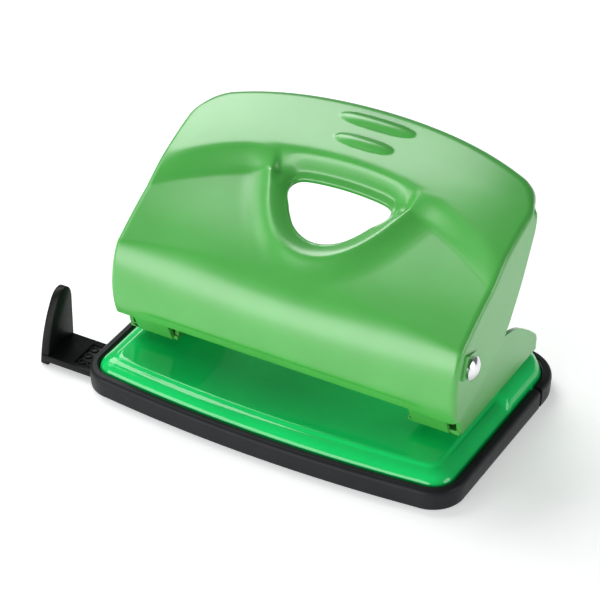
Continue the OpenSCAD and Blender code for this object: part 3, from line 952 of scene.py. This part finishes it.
# ---- Build ---------------------------------------------------------------------------------
make_hood()
make_tray()
make_base_plate()
make_guide()
for side, name in ((-1, "left"), (1, "right")):
    make_pivot_pad(side)
    make_rivet(side)
    make_spring(side)
    dress("bracket_" + name, "bracket_skin_" + name, BRACKET_PAINT, "base", 0.3, 3)
    dress("bracket_rivets_" + name, "bracket_rivet_set_" + name, ZINC, "base", 0.15)
    dress("punch_pin_" + name, "pin_body_" + name, TOOL_STEEL, "punch_" + name, 0.0)
    dress("pin_clip_" + name, "clip_ring_" + name, ZINC, "punch_" + name, 0.1)
    dress("spring_washer_" + name, "washer_ring_" + name, ZINC, "punch_" + name, 0.08)
    dress("pusher_" + name, "pusher_block_" + name, ZINC, "handle", 0.3, 3)
dress("chip_cover", "chip_cover_skin", TRAY_PLASTIC, "cover", 0.2)


# ---- Stage, light and camera ------------------------------------------------------------------
def make_floor():
    mat = new_material("floor_white", (0.9, 0.9, 0.9), 0.6, specular=0.2)
    shader = mat.node_tree.nodes["Principled BSDF"]
    shader.inputs["Emission Color"].default_value = (1, 1, 1, 1)
    shader.inputs["Emission Strength"].default_value = 0.4
    bump(mat, noise(mat, 40), 0.02, 0.0005)
    bpy.ops.mesh.primitive_plane_add(size=6, location=(0, 0, 0))
    floor = bpy.context.object
    floor.name = "floor"
    floor.data.materials.append(mat)


def area_light(name, place, aim, size, power, size_y=None):
    light = bpy.data.lights.new(name, "AREA")
    light.shape = "RECTANGLE" if size_y else "SQUARE"
    light.size = size
    if size_y:
        light.size_y = size_y
    light.energy = power
    obj = bpy.data.objects.new(name, light)
    obj.location = place
    obj.rotation_euler = (Vector(aim) - Vector(place)).to_track_quat("-Z", "Y").to_euler()
    bpy.context.scene.collection.objects.link(obj)


LENS = 173.5362                                # focal length in millimetres, on a 36 mm sensor
CAMERA_ANGLES = (29.551, 34.832, 0.149)        # azimuth, elevation and roll, in degrees
CAMERA_PIVOT = (0, -66.8, 40)
CAMERA_PLACE = (27.76, 22.509, 680.16)         # across, up and away from the pivot, in millimetres


def make_camera():
    """The photograph's view: azimuth and elevation of the line of sight, and a long lens."""
    azimuth, elevation, roll = (math.radians(a) for a in CAMERA_ANGLES)
    level = math.cos(elevation)
    back = Vector((math.sin(azimuth) * level, -math.cos(azimuth) * level, math.sin(elevation)))
    right = Vector((math.cos(azimuth), math.sin(azimuth), 0))
    up = back.cross(right)
    x_axis = right * math.cos(roll) + up * math.sin(roll)
    y_axis = up * math.cos(roll) - right * math.sin(roll)
    across, upward, away = CAMERA_PLACE
    centre = Vector(CAMERA_PIVOT) + x_axis * across + y_axis * upward + back * away
    camera = bpy.data.cameras.new("camera")
    camera.sensor_width = 36
    camera.lens = LENS
    camera.clip_start = 0.01
    obj = bpy.data.objects.new("camera", camera)
    axes = Matrix((x_axis, y_axis, back)).transposed().to_4x4()
    obj.matrix_world = Matrix.Translation(centre * MM) @ axes
    bpy.context.scene.collection.objects.link(obj)
    bpy.context.scene.camera = obj


def make_world():
    world = bpy.data.worlds.new("studio")
    bpy.context.scene.world = world
    world.use_nodes = True
    background = world.node_tree.nodes["Background"]
    background.inputs["Color"].default_value = (0.9, 0.95, 1.0, 1)
    background.inputs["Strength"].default_value = 0.16


make_floor()
area_light("key", (-0.50, 0.30, 0.68), (0, 0.02, 0.03), 0.52, 5.0)
area_light("left", (-0.75, -0.15, 0.70), (0, 0.02, 0.03), 0.4, 1.2)
area_light("front", (-0.35, -1.05, 0.23), (0, 0, 0.03), 1.5, 11.5, size_y=0.48)
area_light("right", (1.0, 0.1, 0.25), (0, 0, 0.03), 0.6, 2.8, size_y=0.4)
make_world()
make_camera()
bpy.context.scene.view_settings.view_transform = "Standard"

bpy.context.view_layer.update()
